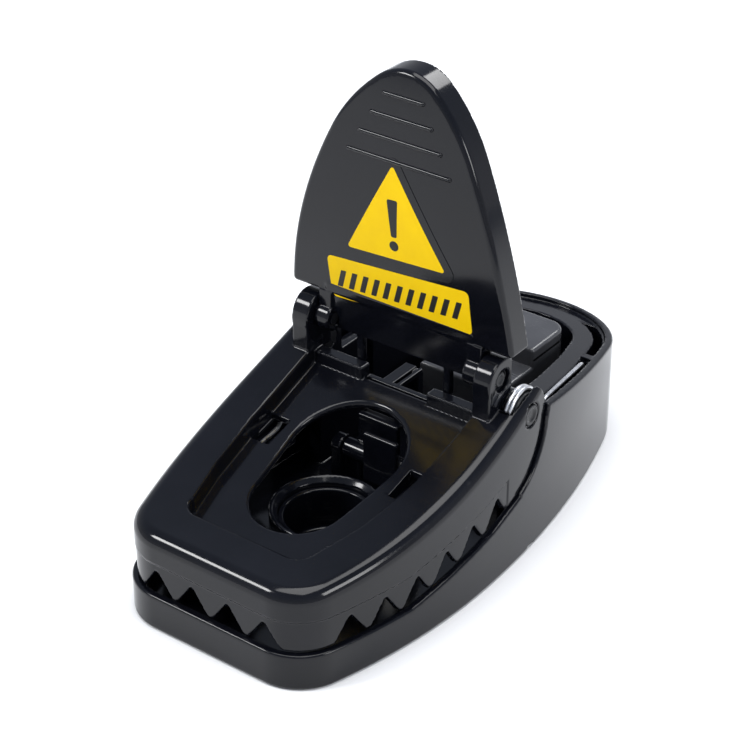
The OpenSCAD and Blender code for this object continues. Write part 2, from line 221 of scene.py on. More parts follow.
def tooth_gap(u, z, pitch):
    """A V-shaped gap with a round top; u runs along the edge and z up from the rim."""
    w, h = pitch / 2 - 0.6, TOOTH_H + 0.75
    n = math.hypot(w - 0.15, h)
    flank = ((np.abs(u) - w) * h + (z - 0.2) * (w - 0.15)) / n
    other = ((-np.abs(u) - w) * h + (z - 0.2) * (w - 0.15)) / n
    return rmax(flank, other, 1.0)


def jaw_field(x, y, z):
    """The upper jaw: toothed walls, a dished deck with its recess, ears and hinge cheeks."""
    ax = np.abs(x)
    p = plan(x, y)
    top = jaw_top(y, z)
    # the tooth band is stepped in a little below a fine line that ends in a tick near the rear
    line = rim_z(np.minimum(y, BAND_END)) + BAND_TOP
    band = BAND_STEP * np.clip((line - z) / 0.3 + 0.5, 0, 1) * np.clip((BAND_END - y) / 0.4, 0, 1)
    wall = p + JAW_OUT + band
    outer = rmax(wall, top, 3.0)
    outer = rmax(outer, jaw_zone(y, z, 0), 0.35)
    hollow = rmax(p + JAW_IN, top + JAW_SKIN, 1.1)
    skin = rmax(recess(x, y) - RECESS_WALL, -(top + (RECESS_DEPTH + RECESS_WALL)), 0.6)
    hollow = np.maximum(hollow, -skin)
    body = cut(outer, hollow, 0.3)
    dish = rmax(recess(x, y), -(top + RECESS_DEPTH), 0.5)
    body = cut(body, dish, 0.55)
    # teeth
    gaps = np.full_like(x, 1e3)
    for k in FRONT_GAPS:
        gap = np.maximum(tooth_gap(x - k * PITCH_F, z - RIM_FRONT, PITCH_F), y + 61.3)
        gaps = np.minimum(gaps, gap)
    for k in range(SIDE_GAPS):
        c = FIRST_SIDE_GAP - k * PITCH_S
        gap = np.maximum(tooth_gap(y - c, z - float(rim_z(c)), PITCH_S), 20.4 - ax)
        gaps = np.minimum(gaps, gap)
    body = cut(body, gaps, 0.3)
    # the deck ends at the hinge line, and only the cheeks go on
    body = cut(body, np.maximum(-4.2 - y, ax - 29.2), 0.3)
    # a notch in the middle of the deck's rear edge, and the cheeks' upper rear corners
    body = cut(body, box(x, y, z, -8.5, 8.5, -6.4, 4, 20, 40, 0.4), 0.3)
    corner = np.maximum(0.5 - y, HINGE_Z + 1 - z)
    corner = np.maximum(corner, BOSS_R + 0.1 - np.hypot(y, z - HINGE_Z))
    body = cut(body, corner, 0.4)
    # platforms, with fine upright grooves on their front faces
    groove = 0.1 * (0.5 + 0.5 * np.cos(ax * 2 * math.pi / 1.25)) * (y < -6.5)
    body = rmin(body, box(ax, y, z, 8.5, 21.7, -7.35, -4.2, 29.2, 34.4, 0.35) + groove, 0.15)
    # ears
    ear = np.hypot(y - PIVOT[0], z - PIVOT[1]) - EAR_R
    ear = rmin(ear, box2(y, z, PIVOT[0] - 4.9, PIVOT[0] + EAR_BACK, 33.6, 42.6), 0.4)
    ear = np.maximum(ear, y - PIVOT[0] - EAR_BACK)
    body = rmin(body, rmax(ear, slab(ax, 21.6, 26.0), 0.45), 0.3)
    # ledge under each slot, for the spring's leg
    ledge = np.minimum(box(ax, y, z, 14.6, 21.2, SLOT_FRONT, SLOT_BACK, 20.9, 22.2, 0.2),
                       box(ax, y, z, 14.6, 16.0, SLOT_FRONT, SLOT_BACK, 21, 24, 0.2))
    body = rmin(body, ledge, 0.15)
    # cross-bar, arms and the nose that the trigger holds
    for b in ((-9, 9, -5.4, -4.0, 30.2, 31.5), (-5.2, -2.3, -4.6, 4.6, 30.2, 31.5),
              (-1.6, -0.5, -4.6, 4.6, 30.2, 31.5), (-5.2, -0.5, 2.4, 4.6, 24.4, 31.0)):
        body = rmin(body, box(x, y, z, *b, 0.2), 0.1)
    # window with a rounded lip, and the slots
    body = cut(body, np.maximum(egg(x, y), 5 - z), 0.7)
    body = cut(body, box(ax, y, z, 16, 21.3, SLOT_FRONT, SLOT_BACK, 22.2, 26.6, 0.2), 0.15)
    # room for the base's lug and the spring, and the stepped bores of the two pins
    for at, rad, x0, x1, edge in ((HINGE, 4.8, 22.3, 26.2, 0.25), (HINGE, 6.17, 25.9, 29.2, 0.2),
                                  (HINGE, 2.35, 28, 40, 0.1), (HINGE, 2.8, 30.2, 40, 0.25),
                                  (PIVOT, 1.61, 20, 40, 0.1), (PIVOT, 2.6, 24.7, 40, 0.3)):
        body = cut(body, bar_x(ax, y, z, at, rad, x0, x1), edge)
    return body


def base_field(x, y, z):
    """The base: an open tray in front, hinge lugs, the cup's collar and the tall rear rim."""
    ax = np.abs(x)
    p = plan(x, y)
    rear = rmax(above_rear(y, z, 0), z - 34, 0.5)
    side = rmax(-jaw_zone(y, z, 0.4), rear, 0.4)
    outer = rmax(rmax(p, -z, 0.9), side, 0.55)
    # the tray in front, the well inside the horseshoe shelf, and the low step above the shelf
    hollow = rmax(np.maximum(p + BASE_WALL, y - 13), BASE_FLOOR - z, 0.6)
    hollow = np.minimum(hollow, rmax(np.maximum(p + 9.3, 12 - y), BASE_FLOOR - z, 0.6))
    above = rmax(np.maximum(p + BASE_WALL, 12.5 - y), -above_rear(y, z, 1.1), 0.35)
    body = cut(outer, hollow, 0.55)
    body = cut(body, above, 0.35)
    # lugs of the jaw's hinge on their walls, and the posts of the trigger's axle
    lug = np.minimum(np.hypot(y, z - HINGE_Z) - 4.2, box2(y, z, -4.2, 4.2, 1, HINGE_Z))
    lug = np.minimum(lug, box2(y, z, 0, 15, 1, 29, 0.3))
    body = rmin(body, np.maximum(rmax(lug, slab(ax, 22.6, 25.9), 0.3), p + 1), 0.3)
    post = np.minimum(np.hypot(y - AXLE[0], z - AXLE[1]) - 2.6,
                      box2(y, z, AXLE[0] - 2.6, AXLE[0] + 2.6, 1, AXLE[1]))
    body = rmin(body, rmax(post, slab(ax, 8, 10.5), 0.3), 0.4)
    # collar of the bait cup
    rad = np.hypot(x, y - CUP_Y)
    body = rmin(body, rmax(rad - COLLAR_R, np.maximum(z - 15, 1 - z), 0.5), 0.5)
    bore = np.minimum(rad - 10.45, rad - CUP_R - 1.2 * np.clip((z - 13.9) / 1.1, 0, 1))
    body = cut(body, bore, 0.2)
    body = cut(body, np.maximum(rad - 14.1, z - 1.5), 0.2)
    # slots for the springs' rear legs, and a second stretch of the same groove behind them
    span = np.minimum(np.maximum(slab(y, 12, 35), 12 - ax),
                      np.maximum(slab(y, 38.5, 55.5), 8 - ax))
    slot = np.maximum(np.maximum(p + 2.5, -(p + 4.4)), np.maximum(span, -above_rear(y, z, 8)))
    body = cut(body, slot, 0.3)
    # a small block behind the end of each slot
    rib = np.maximum(box2(p, y, -4.5, -1.7, 35.1, 37.6, 0.3), above_rear(y, z, 0.1))
    rib = np.maximum(rib, -above_rear(y, z, 2.5))
    body = rmin(body, rib, 0.2)
    # horseshoe groove under the shelf
    under = np.maximum(np.maximum(p + 2.0, -(p + 7.4)), np.maximum(18 - y, above_rear(y, z, 11)))
    body = cut(body, under, 0.4)
    body = cut(body, bar_x(ax, y, z, HINGE, 2.31, 21.6, 26.9), 0.15)
    body = cut(body, bar_x(ax, y, z, AXLE, 1.01, 7, 9.7), 0.1)
    # a small notch at the bottom edge of the right side
    return cut(body, box(x, y, z, 31, 34, -1.2, 1.6, -1, 0.9, 0.2), 0.15)


def lever_field(x, y, z):
    """The set lever: a curved bullet-shaped lid with a skirt behind and two knuckles below."""
    ax = np.abs(x)
    arch = np.hypot(ax - SIDE_C[0], z - SIDE_C[1]) - SIDE_R
    for c, r, turn in ((MID_C, MID_R, MID_A), (TIP_C, TIP_R, TIP_A)):
        u, v = ax - c[0], z - c[1]
        beyond = v * math.cos(turn) - u * math.sin(turn) > 0
        arch = np.where(beyond, np.hypot(u, v) - r, arch)
    face = np.hypot(y - FACE_C[0], z - FACE_C[1]) - FACE_R
    shell = rmax(arch, SHOULDER_Z - z, 1.2)
    shell = rmax(shell, face, 1.1)
    shell = rmax(shell, -(face + SKIRT), 0.3)
    hollow = rmax(arch + LEVER_WALL, SHOULDER_Z + LEVER_WALL - z, 0.6)
    hollow = rmax(hollow, face + 1.8, 0.5)
    body = cut(shell, hollow, 0.3)
    # ribs inside the skirt
    crossed = np.minimum(slab(ax, 9.4, 10.4), slab(z, 69.4, 70.4))
    inner = rmax(slab(face, -4.2, -1.0), crossed, 0.2)
    body = rmin(body, np.maximum(inner, np.maximum(arch + 1, SHOULDER_Z + 1 - z)), 0.4)
    # tongue between the ears
    tongue = rmax(slab(face, -1.8, 0), box2(x, z, -19.3, 19.3, 40, 51.7, 0.8), 0.4)
    body = rmin(body, tongue, 0.5)
    # knuckles and feet
    knuckle = np.minimum(np.hypot(y - PIVOT[0], z - PIVOT[1]) - 3.1,
                         box2(y, z, PIVOT[0] - 1.4, PIVOT[0] + 2.6, PIVOT[1], PIVOT[1] + 7, 0.3))
    body = rmin(body, rmax(knuckle, slab(ax, 17.6, 21.35), 0.35), 0.3)
    body = rmin(body, box(ax, y, z, 10.6, 12.3, -4.1, -2.3, 33.4, 41.2, 0.35), 0.2)
    return cut(body, bar_x(ax, y, z, PIVOT, 1.65, 17, 40), 0.15)


def insert_field(x, y, z):
    """The raised middle of the rear: lower in front, with a parting line and hollow below."""
    plan_d = rmax(np.abs(x) - 11, np.maximum(18 - y, y - 45.5), 4.0)
    plan_d = np.where(y < 30, np.maximum(np.abs(x) - 11, 18 - y), plan_d)
    body = rmax(plan_d, np.maximum(z - 27.5, 2.4 - z), 0.9)
    step = np.maximum(y - 31, 23 - z)
    body = cut(body, step, 0.7)
    line = np.maximum(np.abs(z - 24.6) - 0.12, -(plan_d + 0.2))
    body = cut(body, line, 0.08)
    return cut(body, np.minimum(box(x, y, z, -9.2, 9.2, 19.8, 40.8, 0, 21.2, 0.3),
                                box(x, y, z, -9.2, 9.2, 32.8, 40.8, 0, 25.7, 0.3)), 0.2)


def trigger_field(x, y, z):
    """The trigger: a barrel on the axle, a paddle below, an arm with a ledge and a plate."""
    a0, a1 = AXLE
    body = bar_x(x, y, z, AXLE, 2.3, -7.7, 7.7, 0.35)
    body = rmin(body, box(x, y, z, -7.2, 7.2, a0 - 0.6, a0 + 0.7, 6, 17, 0.4), 0.3)
    body = rmin(body, box(x, y, z, -5.2, 5.2, a0 + 0.5, a0 + 1.9, a1, a1 + 9.2, 0.3), 0.3)
    body = rmin(body, box(x, y, z, -5.2, 5.2, a0 + 0.5, a0 + 3.4, a1 + 8, a1 + 9.2, 0.3), 0.2)
    body = rmin(body, box(x, y, z, -1.5, 7.5, a0 - 2.9, a0 - 1.6, 13, 25.4, 0.5), 0.2)
    ribs = np.minimum(box(x, y, z, -4.4, -3.4, a0 - 1.2, a0, 7, 16, 0.3),
                      box(x, y, z, 3.4, 4.4, a0 - 1.2, a0, 7, 16, 0.3))
    body = rmin(body, ribs, 0.25)
    return cut(body, bar_x(x, y, z, AXLE, 1.05, -20, 20), 0.15)


def cup_field(x, y, z):
    """The bait cup, with a flange at its foot."""
    rad = np.hypot(x, y - CUP_Y)
    body = rmax(rad - CUP_R, slab(z, 0.4, 13), 0.45)
    body = rmin(body, rmax(rad - FLANGE_R, slab(z, 0.4, 1.4), 0.3), 0.3)
    inside = rmax(rad - WELL_R, 3 - z, 0.8)
    body = cut(body, inside, 0.45)
    # a raised ring and a boss on the floor of the cup
    ring = rmax(np.abs(rad - 5.6) - 0.5, slab(z, 2.5, 3.5), 0.2)
    body = rmin(body, ring, 0.2)
    body = rmin(body, rmax(rad - 1.6, slab(z, 2.5, 3.9), 0.3), 0.3)
    # a grip bar is left across the hollow underside
    grip = np.maximum(rad - WELL_R, z - 1.8)
    return cut(body, np.maximum(grip, 1.2 - np.abs(x)), 0.2)


# ---------------------------------------------------------------- meshes
def gradient(field, p, h):
    """Central differences of the field at points p."""
    g = np.empty_like(p)
    for axis in range(3):
        q = p.copy()
        q[:, axis] += h
        up = field(q[:, 0], q[:, 1], q[:, 2])
        q[:, axis] -= 2 * h
        g[:, axis] = (up - field(q[:, 0], q[:, 1], q[:, 2])) / (2 * h)
    return g


def skin_of(field, lo, hi, cell):
    """Vertices, quads and normals of the surface where the field is 0.

    Blocks of cells that the surface can't reach keep the value at their middle. One vertex goes in
    each cell that the surface crosses, and is then moved onto it.
    """
    margin, step = 1.5 * cell, 8
    lo = np.array(lo, float) - margin
    n = np.ceil((np.array(hi, float) + margin - lo) / cell).astype(int) + 1
    blocks = np.ceil(n / step).astype(int)
    shape = tuple(blocks * step + 1)
    values = np.empty(shape, np.float32)
    centre = [lo[a] + (np.arange(blocks[a]) + 0.5) * step * cell for a in range(3)]
    cx, cy, cz = np.meshgrid(*centre, indexing="ij")
    rough = field(cx.ravel(), cy.ravel(), cz.ravel()).reshape(cx.shape)
    values[:-1, :-1, :-1] = np.repeat(np.repeat(np.repeat(rough, step, 0), step, 1), step, 2)
    values[-1], values[:, -1], values[:, :, -1] = 1, 1, 1
    near = np.argwhere(np.abs(rough) < step * cell * 1.25)
    offset = np.arange(step + 1)
    batch = 600
    for start in range(0, len(near), batch):
        part = near[start:start + batch] * step
        i = part[:, 0, None, None, None] + offset[None, :, None, None]
        j = part[:, 1, None, None, None] + offset[None, None, :, None]
        k = part[:, 2, None, None, None] + offset[None, None, None, :]
        i, j, k = np.broadcast_arrays(i, j, k)
        i, j, k = i.ravel(), j.ravel(), k.ravel()
        values[i, j, k] = field(lo[0] + i * cell, lo[1] + j * cell, lo[2] + k * cell)
    inside = values < 0
    corners = [(a, b, c) for a in (0, 1) for b in (0, 1) for c in (0, 1)]
    m = [s - 1 for s in shape]
    count = sum(inside[a:a + m[0], b:b + m[1], c:c + m[2]].astype(np.int8) for a, b, c in corners)
    cells = np.argwhere((count > 0) & (count < 8))
    ids = np.full(tuple(m), -1, np.int32)
    ids[tuple(cells.T)] = np.arange(len(cells))
    total, hits = np.zeros((len(cells), 3)), np.zeros(len(cells))
    for p in corners:
        for axis in range(3):
            if p[axis]:
                continue
            q = list(p)
            q[axis] = 1
            va = values[tuple((cells + p).T)]
            vb = values[tuple((cells + q).T)]
            crossed = (va < 0) != (vb < 0)
            t = np.where(crossed, va / np.where(crossed, va - vb, 1), 0)
            at = np.array(p, float)[None, :] + np.zeros((len(cells), 3))
            at[:, axis] += t
            total += np.where(crossed[:, None], at, 0)
            hits += crossed
    verts = lo + (cells + total / hits[:, None]) * cell
    quads = []
    for axis in range(3):
        b, c = (axis + 1) % 3, (axis + 2) % 3
        first = [slice(None)] * 3
        last = [slice(None)] * 3
        first[axis], last[axis] = slice(0, -1), slice(1, None)
        change = inside[tuple(first)] != inside[tuple(last)]
        e = np.argwhere(change)
        e = e[(e[:, b] > 0) & (e[:, c] > 0)]
        e = e[(e[:, b] < m[b]) & (e[:, c] < m[c]) & (e[:, axis] < m[axis])]
        corner = []
        for db, dc in ((-1, -1), (0, -1), (0, 0), (-1, 0)):
            w = e.copy()
            w[:, b] += db
            w[:, c] += dc
            corner.append(ids[tuple(w.T)])
        quad = np.stack(corner, 1)
        flip = ~inside[tuple(e.T)]
        quad[flip] = quad[flip][:, ::-1]
        quads.append(quad[(quad >= 0).all(1)])
    quads = np.concatenate(quads)
    for _ in range(4):
        g = gradient(field, verts, 0.02)
        size = np.maximum((g * g).sum(1), 0.2)
        d = field(verts[:, 0], verts[:, 1], verts[:, 2])
        move = -(d / size)[:, None] * g
        length = np.linalg.norm(move, axis=1)
        move *= np.minimum(1, 0.4 * cell / np.maximum(length, 1e-9))[:, None]
        verts = verts + move
    normals = gradient(field, verts, 0.06)
    normals /= np.maximum(np.linalg.norm(normals, axis=1), 1e-9)[:, None]
    return verts, quads, normals


def make_mesh(name, verts, faces, material, normals=None):
    """An object from vertices in mm, smooth shaded."""
    mesh = bpy.data.meshes.new(name)
    mesh.from_pydata((np.asarray(verts) * MM).tolist(), [],
                     faces.tolist() if hasattr(faces, "tolist") else faces)
    mesh.update()
    mesh.polygons.foreach_set("use_smooth", [True] * len(mesh.polygons))
    if normals is not None:
        mesh.normals_split_custom_set_from_vertices(normals.tolist())
    obj = bpy.data.objects.new(name, mesh)
    bpy.context.scene.collection.objects.link(obj)
    mesh.materials.append(material)
    return obj


def moulded(name, node, body, field, cell, material):
    """A moulded piece that stands for a CAD node and stays inside its box."""
    lo, hi = (np.array(v) * 1000 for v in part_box(node))
    verts, quads, normals = skin_of(field, lo, hi, cell)
    verts = np.clip(verts, lo, hi)
    obj = make_mesh(name, verts, quads, material, normals)
    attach(obj, body)
    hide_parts(node)


# ---------------------------------------------------------------- materials
def new_material(name):
    """An empty node material with a Principled shader on its output."""
    material = bpy.data.materials.new(name)
    material.use_nodes = True
    nodes, links = material.node_tree.nodes, material.node_tree.links
    nodes.clear()
    out = nodes.new("ShaderNodeOutputMaterial")
    shader = nodes.new("ShaderNodeBsdfPrincipled")
    links.new(shader.outputs["BSDF"], out.inputs["Surface"])
    return material, nodes, links, shader


def noise(nodes, links, coords, scale, detail, rough):
    n = nodes.new("ShaderNodeTexNoise")
    n.inputs["Scale"].default_value = scale
    n.inputs["Detail"].default_value = detail
    n.inputs["Roughness"].default_value = rough
    links.new(coords, n.inputs["Vector"])
    return n.outputs["Fac"]


def ramp(nodes, links, value, stops):
    """Maps a value to colours; a stop is (position, (r, g, b)) or (position, (grey,))."""
    r = nodes.new("ShaderNodeValToRGB")
    links.new(value, r.inputs["Fac"])
    elements = r.color_ramp.elements
    while len(elements) < len(stops):
        elements.new(0.5)
    for element, (at, colour) in zip(elements, stops):
        element.position = at
        element.color = (*colour, 1) if len(colour) == 3 else (colour[0],) * 3 + (1,)
    return r.outputs["Color"]


def mapped(nodes, links, scale):
    """Object coordinates, stretched by scale."""
    coords = nodes.new("ShaderNodeTexCoord")
    m = nodes.new("ShaderNodeMapping")
    m.inputs["Scale"].default_value = scale
    links.new(coords.outputs["Object"], m.inputs["Vector"])
    return m.outputs["Vector"]


def maths(nodes, links, kind, a, b):
    n = nodes.new("ShaderNodeMath")
    n.operation = kind
    for socket, value in zip(n.inputs, (a, b)):
        if isinstance(value, (int, float)):
            socket.default_value = value
        else:
            links.new(value, socket)
    return n.outputs[0]


def bumped(nodes, links, shader, height, strength, distance):
    """Gives the shader a fine relief; distance is in metres."""
    b = nodes.new("ShaderNodeBump")
    b.inputs["Strength"].default_value = strength
    b.inputs["Distance"].default_value = distance
    links.new(height, b.inputs["Height"])
    links.new(b.outputs["Normal"], shader.inputs["Normal"])


def plastic(name, dark, light, gloss, rough, specular=0.3):
    """Moulded plastic: cloudy gloss, hair scratches, sink marks and rubbed edges."""
    material, nodes, links, shader = new_material(name)
    base = mapped(nodes, links, (1, 1, 1))
    cloud = noise(nodes, links, base, 55, 5, 0.6)
    links.new(ramp(nodes, links, cloud, ((0.3, dark), (0.75, light))), shader.inputs["Base Color"])
    streak = noise(nodes, links, mapped(nodes, links, (60, 900, 600)), 3.0, 3, 0.7)
    scratch = ramp(nodes, links, streak, ((0.62, (0,)), (0.74, (1,))))
    fine = noise(nodes, links, base, 900, 3, 0.6)
    geometry = nodes.new("ShaderNodeNewGeometry")
    edge = ramp(nodes, links, geometry.outputs["Pointiness"], ((0.53, (0,)), (0.62, (1,))))
    level = ramp(nodes, links, cloud, ((0.25, (gloss,)), (0.8, (rough,))))
    for part, share in ((scratch, 0.10), (edge, 0.105)):
        rougher = maths(nodes, links, "MULTIPLY", part, share)
        level = maths(nodes, links, "ADD", level, rougher)
    links.new(level, shader.inputs["Roughness"])
    shader.inputs["IOR"].default_value = 1.5
    shader.inputs["Specular IOR Level"].default_value = specular
    height = noise(nodes, links, base, 38, 2, 0.4)
    for kind, part, share in (("ADD", fine, 0.03), ("SUBTRACT", scratch, 0.012)):
        height = maths(nodes, links, kind, height, maths(nodes, links, "MULTIPLY", part, share))
    bumped(nodes, links, shader, height, 0.2, 0.0003)
    return material


def steel(name, tint):
    """Drawn wire: patchy shine and fine lines."""
    material, nodes, links, shader = new_material(name)
    base = mapped(nodes, links, (1, 1, 1))
    cloud = noise(nodes, links, base, 350, 4, 0.6)
    dull = tuple(c * 0.72 for c in tint)
    links.new(ramp(nodes, links, cloud, ((0.3, dull), (0.7, tint))), shader.inputs["Base Color"])
    shader.inputs["Metallic"].default_value = 1.0
    lines = noise(nodes, links, mapped(nodes, links, (900, 300, 300)), 4, 3, 0.7)
    rough = ramp(nodes, links, lines, ((0.3, (0.24,)), (0.8, (0.42,))))
    links.new(rough, shader.inputs["Roughness"])
    bumped(nodes, links, shader, lines, 0.25, 0.00005)
    return material


def printed(name, colour, shade, gloss, specular=0.3):
    """A printed film with a slight mottle and a fine orange-peel surface."""
    material, nodes, links, shader = new_material(name)
    base = mapped(nodes, links, (1, 1, 1))
    cloud = noise(nodes, links, base, 160, 5, 0.65)
    links.new(ramp(nodes, links, cloud, ((0.3, shade), (0.7, colour))), shader.inputs["Base Color"])
    links.new(ramp(nodes, links, cloud, ((0.3, (gloss,)), (0.8, (gloss + 0.16,)))),
              shader.inputs["Roughness"])
    peel = noise(nodes, links, base, 1400, 3, 0.5)
    bumped(nodes, links, shader, peel, 0.15, 0.00004)
    shader.inputs["Specular IOR Level"].default_value = specular
    return material


BLACK = plastic("black_abs", (0.0022, 0.0026, 0.0042), (0.0045, 0.005, 0.0078), 0.07, 0.17)
SATIN = plastic("satin_abs", (0.034, 0.035, 0.039), (0.062, 0.063, 0.069), 0.18, 0.3, specular=0.6)
PIN = plastic("pin_plastic", (0.007, 0.0075, 0.009), (0.016, 0.017, 0.019), 0.22, 0.36)
STEEL = steel("spring_steel", (0.82, 0.83, 0.85))
YELLOW = printed("label_yellow", (0.86, 0.57, 0.001), (0.81, 0.52, 0.0006), 0.42, 0.12)
INK = printed("label_ink", (0.012, 0.012, 0.012), (0.006, 0.006, 0.006), 0.35)
FILM = printed("label_film", (0.004, 0.0044, 0.0065), (0.003, 0.0034, 0.005), 0.12)

# ---------------------------------------------------------------- moulded pieces
FINE = 0.42     # cell of the grid, in mm
moulded("vis_base_shell", "base_shell", "base", base_field, FINE * 1.15, BLACK)
moulded("vis_upper_jaw", "upper_jaw", "jaw", jaw_field, FINE, BLACK)
moulded("vis_set_lever", "set_lever", "lever", lever_field, FINE, BLACK)
moulded("vis_rear_insert", "rear_insert", "base", insert_field, FINE, SATIN)
moulded("vis_trigger", "trigger", "trigger", trigger_field, FINE * 0.7, BLACK)
moulded("vis_bait_cup", "bait_cup", "bait_cup", cup_field, FINE * 0.8, BLACK)


# ---------------------------------------------------------------- turned pieces
def turned(name, node, body, profile, centre, material, mirror=False, turns=48,
           hollow=False):
    """Revolves (x, radius) pairs round an axis along X.

    A hollow piece joins its last pair to its first; others are closed with a cap at each end.
    """
    angles = np.linspace(0, 2 * math.pi, turns, endpoint=False)
    sign = -1 if mirror else 1
    verts, faces = [], []
    for px, pr in profile:
        for a in angles:
            verts.append((sign * px, centre[0] + pr * math.cos(a), centre[1] + pr * math.sin(a)))
    rings = len(profile)
    for i in range(rings if hollow else rings - 1):
        n = (i + 1) % rings
        for j in range(turns):
            k = (j + 1) % turns
            quad = (i * turns + j, i * turns + k, n * turns + k, n * turns + j)
            faces.append(quad[::-1] if mirror else quad)
    for ring, last in ((0, False), (rings - 1, True)):
        if not hollow:
            cap = tuple(ring * turns + j for j in range(turns))
            faces.append(cap if last != mirror else cap[::-1])
    obj = make_mesh(name, verts, faces, material)
    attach(obj, body)
    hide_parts(node)
    weighted = obj.modifiers.new("edges", "WEIGHTED_NORMAL")
    weighted.keep_sharp = True


def bevelled(x0, x1, r, b):
    """Profile of a pin with rounded ends."""
    arc = [(b - b * math.sin(t), r - b + b * math.cos(t)) for t in np.linspace(math.pi / 2, 0, 5)]
    left = [(x0, (r - b) * f) for f in (0.3, 0.7, 0.95)] + [(x0 + u, v) for u, v in arc]
    right = [(x1 - u, v) for u, v in arc[::-1]] + [(x1, (r - b) * f) for f in (0.95, 0.7, 0.3)]
    return left + right


def pin_head(x0, x1, r):
    """A pin whose outer end has a shallow dimple."""
    body = bevelled(x0, x1, r, 0.25)[:-3]
    return body + [(x1, r * 0.72), (x1 - 0.12, r * 0.62), (x1 - 0.3, r * 0.5),
                   (x1 - 0.34, r * 0.3), (x1 - 0.34, r * 0.1)]


BUSH = [(25.95, 2.31), (25.95, 4.2), (26.1, 4.5), (26.35, 4.6), (28.7, 4.6), (28.95, 4.5),
        (29.1, 4.2), (29.1, 2.31)]
for side, mirror in (("right", False), ("left", True)):
    turned("vis_hinge_pin_" + side, "hinge_pin_" + side, "base", pin_head(*HINGE_PIN), HINGE, PIN,
           mirror)
    turned("vis_lever_pin_" + side, "lever_pin_" + side, "jaw", pin_head(*LEVER_PIN), PIVOT, PIN,
           mirror)
    turned("vis_spring_bush_" + side, "spring_bush_" + side, "base", BUSH, HINGE, PIN,
           mirror, hollow=True)
turned("vis_trigger_axle", "trigger_axle", "base", bevelled(-9.7, 9.7, 1.0, 0.2), AXLE, STEEL,
       turns=32)


# ---------------------------------------------------------------- springs
def tube(name, path, radius, material, ring=14):
    """A round wire along a path, with rounded ends."""
    path = np.asarray(path, float)
    d = np.gradient(path, axis=0)
    d /= np.linalg.norm(d, axis=1)[:, None]
    up = np.cross(d[0], (0, 0, 1))
    if np.linalg.norm(up) < 0.1:
        up = np.cross(d[0], (1, 0, 0))
    up /= np.linalg.norm(up)
    stations = []
    for k, (p, t) in enumerate(zip(path, d)):
        up = up - t * up.dot(t)
        up /= np.linalg.norm(up)
        stations.append((p, t, up.copy(), radius))
    head, tail = stations[0], stations[-1]
    dome = [(s, math.sqrt(1 - s * s)) for s in (0.97, 0.8, 0.5, 0.2)]
    front = [(head[0] - head[1] * radius * s, head[1], head[2], radius * w) for s, w in dome]
    back = [(tail[0] + tail[1] * radius * s, tail[1], tail[2], radius * w) for s, w in dome[::-1]]
    verts, faces = [], []
    stations = front + stations + back
    for p, t, u, r in stations:
        v = np.cross(t, u)
        for j in range(ring):
            a = 2 * math.pi * j / ring
            verts.append(p + r * (u * math.cos(a) + v * math.sin(a)))
    for i in range(len(stations) - 1):
        for j in range(ring):
            k = (j + 1) % ring
            faces.append((i * ring + j, i * ring + k, (i + 1) * ring + k, (i + 1) * ring + j))
    faces.append(tuple(range(ring))[::-1])
    faces.append(tuple((len(stations) - 1) * ring + j for j in range(ring)))
    return make_mesh(name, verts, faces, material)


def smooth_path(points):
    """A polyline with its corners rounded, sampled about every millimetre."""
    p = np.array(points, float)
    for _ in range(3):
        q = [p[0]]
        for a, b in zip(p[:-1], p[1:]):
            length = np.linalg.norm(b - a)
            cut_at = min(0.25, 0.9 / max(length, 1e-6))
            q += [a + (b - a) * cut_at, b - (b - a) * cut_at]
        q.append(p[-1])
        p = np.array(q)
    out = [p[0]]
    for a, b in zip(p[:-1], p[1:]):
        n = max(1, int(np.linalg.norm(b - a)))
        out += [a + (b - a) * (k + 1) / n for k in range(n)]
    return np.array(out)


def spring_path(sign):
    """Rear leg along the slot, two turns inwards, and the front leg under the jaw."""
    coil = []
    for t in np.linspace(0, 1, 120):
        angle = math.radians(COIL_FROM - COIL_SWEEP * t)
        coil.append((COIL_X - COIL_SHIFT * t, COIL_R * math.cos(angle),
                     HINGE_Z + COIL_R * math.sin(angle)))
    rear = [(22.3, 33.5, 25.9), (22.9, 32.4, 27.8), (27.2, 10.5, 31.4), (28.2, 5.6, 29.9)]
    front = [(26.4, -7, 27.2), (19.3, -22.9, 22.85), (18.6, -29.8, 22.85)]
    path = np.concatenate([smooth_path(rear + coil[:1])[:-1], coil,
                           smooth_path(coil[-1:] + front)[1:]])
    path[:, 0] *= sign
    return path


for side, sign in (("right", 1), ("left", -1)):
    spring = tube("vis_spring_" + side, spring_path(sign), WIRE_R, STEEL)
    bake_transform(spring)
    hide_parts("spring_" + side)


# ---------------------------------------------------------------- on the lever's face
def face_y(z, proud):
    """Where the lever's curved face is at height z, or a little in front of it."""
    return FACE_C[0] - math.sqrt((FACE_R + proud) ** 2 - (z - FACE_C[1]) ** 2)


def round_corners(points, radius, steps=7):
    """A closed outline with round corners."""
    out = []
    n = len(points)
    for i in range(n):
        a, b, c = (np.array(points[(i + k) % n], float) for k in (-1, 0, 1))
        u, v = (a - b) / np.linalg.norm(a - b), (c - b) / np.linalg.norm(c - b)
        half = math.acos(np.clip(u.dot(v), -1, 1)) / 2
        reach = radius / math.tan(half)
        centre = b + (u + v) / np.linalg.norm(u + v) * radius / math.sin(half)
        p, q = b + u * reach - centre, b + v * reach - centre
        a0 = math.atan2(p[1], p[0])
        turn = (math.atan2(q[1], q[0]) - a0 + math.pi) % (2 * math.pi) - math.pi
        for k in range(steps):
            t = a0 + turn * k / (steps - 1)
            out.append(tuple(centre + radius * np.array([math.cos(t), math.sin(t)])))
    return out


